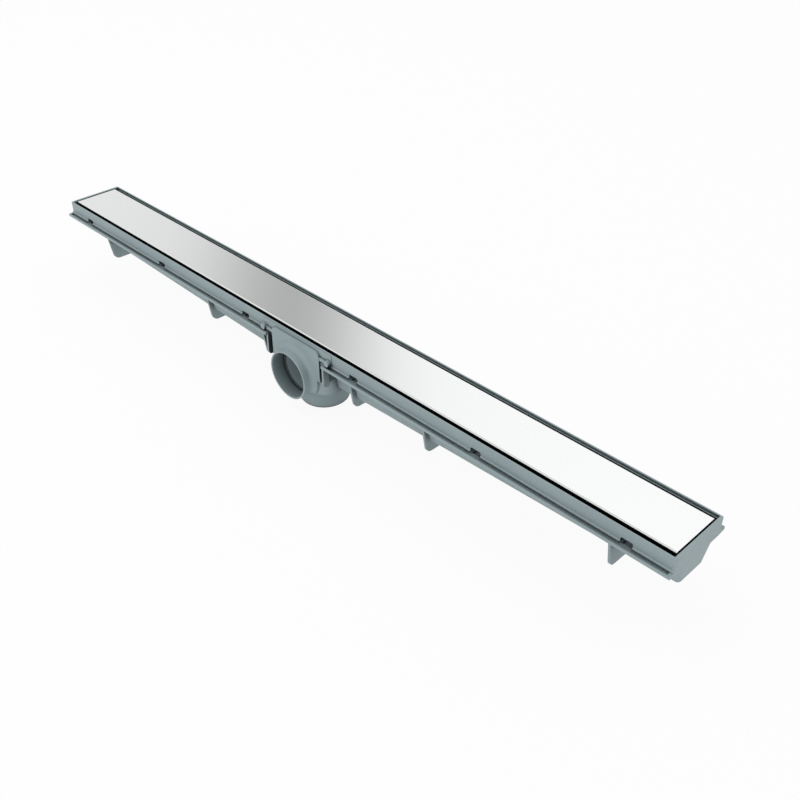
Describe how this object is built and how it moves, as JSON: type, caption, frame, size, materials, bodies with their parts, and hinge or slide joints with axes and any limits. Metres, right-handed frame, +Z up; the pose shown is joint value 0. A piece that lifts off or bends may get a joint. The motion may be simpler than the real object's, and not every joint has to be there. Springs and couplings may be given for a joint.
{
  "type": "linear shower drain",
  "caption": "Slim moulded shower channel with weep slots in its side walls, a flush stainless cover, a central trap housing and a round side outlet.",
  "frame": {"origin": "centre of the trap housing's flat base", "axes": "+Z up, +X along the channel, -Y out of the outlet"},
  "size_m": [0.9, 0.0893, 0.091],
  "materials": {
    "body_plastic": "satin blue-grey moulded plastic",
    "stainless": "brushed lengthwise",
    "rubber": "matt black",
    "trap_plastic": "plain blue-grey moulded plastic"
  },
  "bodies": {
    "root": {"channel_body": "body_plastic", "cover_plate": "stainless", "cover_stiffener_1": "stainless", "cover_stiffener_2": "stainless", "cover_stiffener_3": "stainless", "cover_stiffener_4": "stainless", "cover_stiffener_5": "stainless", "cover_pad_front_1": "rubber", "cover_pad_front_2": "rubber", "cover_pad_front_3": "rubber", "cover_pad_front_4": "rubber", "cover_pad_front_5": "rubber", "cover_pad_front_6": "rubber", "cover_pad_rear_1": "rubber", "cover_pad_rear_2": "rubber", "cover_pad_rear_3": "rubber", "cover_pad_rear_4": "rubber", "cover_pad_rear_5": "rubber", "cover_pad_rear_6": "rubber", "trap_hood": "trap_plastic", "hood_seal_ring": "rubber", "hair_strainer": "stainless"}
  },
  "joints": []
}
